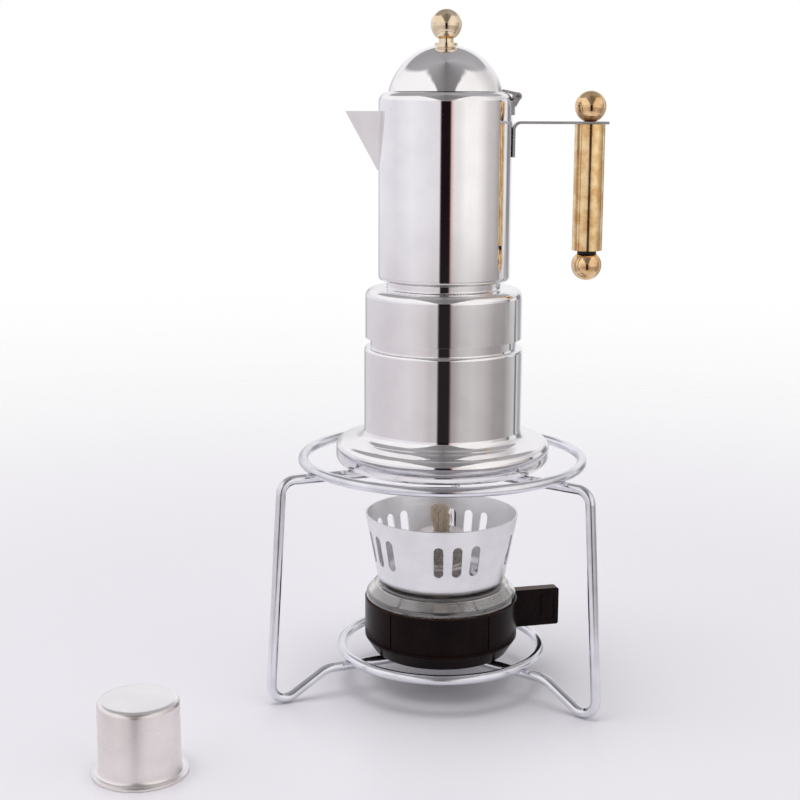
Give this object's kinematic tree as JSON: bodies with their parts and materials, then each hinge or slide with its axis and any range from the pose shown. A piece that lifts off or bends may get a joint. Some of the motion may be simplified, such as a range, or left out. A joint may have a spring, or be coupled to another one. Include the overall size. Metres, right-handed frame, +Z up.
{
  "type": "stovetop espresso pot with spirit burner stand",
  "caption": "Polished steel espresso pot with domed lid, brass ball knob and brass handle, on a bent wire stand over a glass spirit burner with a slotted windshield and a loose snuffer cap.",
  "frame": {"origin": "the pot's axis at the floor the stand's feet rest on", "axes": "+Z up along the pot's axis, +X towards the pot's handle, -Y is the front with the burner's open bay"},
  "size_m": [0.2412, 0.2346, 0.3458],
  "materials": {
    "chrome_wire": "bright chrome plate",
    "polished_steel": "mirror polished stainless steel",
    "plain_steel": "plain turned steel",
    "brass": "polished brass",
    "aluminium": "satin aluminium",
    "bakelite": "dark brown moulded plastic",
    "black_plastic": "matte black",
    "glass": "clear glass",
    "cotton": "loose cotton",
    "rubber": "pale silicone rubber"
  },
  "bodies": {
    "stand": {"top_ring": "chrome_wire", "lower_ring": "chrome_wire", "leg_front_left": "chrome_wire", "leg_front_right": "chrome_wire", "leg_back": "chrome_wire"},
    "burner": {"burner_holder": "bakelite", "glass_reservoir": "glass"},
    "wick_assembly": {"wick_cap": "aluminium", "wick_tube": "plain_steel", "wick": "cotton"},
    "shield": {"windshield": "aluminium"},
    "snuffer": {"snuffer_cap": "polished_steel"},
    "boiler": {"boiler_body": "polished_steel", "valve_body": "brass", "valve_nut": "brass"},
    "valve": {"valve_pin": "plain_steel", "valve_spring": "plain_steel"},
    "basket": {"funnel": "aluminium", "funnel_sieve": "plain_steel"},
    "seal": {"gasket": "rubber", "filter_plate": "plain_steel"},
    "collector": {"collector_skirt": "polished_steel", "collector_column": "plain_steel", "collector_body": "polished_steel", "spout": "polished_steel", "hinge_bracket": "polished_steel", "hinge_pin": "plain_steel", "handle_bracket": "polished_steel", "handle_tube": "brass", "handle_plugs": "brass", "handle_spacer": "black_plastic", "handle_top_ball": "brass", "handle_foot_ball": "brass", "handle_rod": "plain_steel"},
    "lid": {"lid_dome": "polished_steel", "knob_washer": "brass", "knob_ball": "brass", "knob_screw": "plain_steel", "hinge_leaf": "polished_steel"}
  },
  "joints": [
    {"name": "burner_lift", "type": "slide", "parent": "stand", "child": "burner", "axis": [0, 0, 1], "range_m": [0, 0.007]},
    {"name": "shield_lift", "type": "slide", "parent": "burner", "child": "shield", "axis": [0, 0, 1], "range_m": [0, 0.008]},
    {"name": "wick_cap_unscrew", "type": "hinge", "parent": "burner", "child": "wick_assembly", "pos_m": [0, 0, 0.068], "axis": [0, 0, 1], "range_deg": [0, 360]},
    {"name": "snuffer_lift", "type": "slide", "parent": "stand", "child": "snuffer", "axis": [0, 0, 1], "range_m": [0, 0.08]},
    {"name": "pot_lift", "type": "slide", "parent": "stand", "child": "boiler", "axis": [0, 0, 1], "range_m": [0, 0.12]},
    {"name": "valve_vent", "type": "slide", "parent": "boiler", "child": "valve", "axis": [0, 1, 0], "range_m": [0, 0.0011], "stiffness_N_per_m": 1500, "springref_m": -0.001},
    {"name": "collector_lift", "type": "slide", "parent": "boiler", "child": "seal", "axis": [0, 0, 1], "range_m": [0, 0.15]},
    {"name": "basket_lift", "type": "slide", "parent": "boiler", "child": "basket", "axis": [0, 0, 1], "range_m": [0, 0.08]},
    {"name": "collector_unscrew", "type": "hinge", "parent": "seal", "child": "collector", "pos_m": [0, 0, 0.2], "axis": [0, 0, 1], "range_deg": [0, 360]},
    {"name": "lid_hinge", "type": "hinge", "parent": "collector", "child": "lid", "pos_m": [0.0352, 0, 0.3039], "axis": [0, 1, 0], "range_deg": [0, 105]}
  ],
  "couplings": [
    {"joint": "basket_lift", "follows": "collector_lift", "ratio": 0.5}
  ]
}
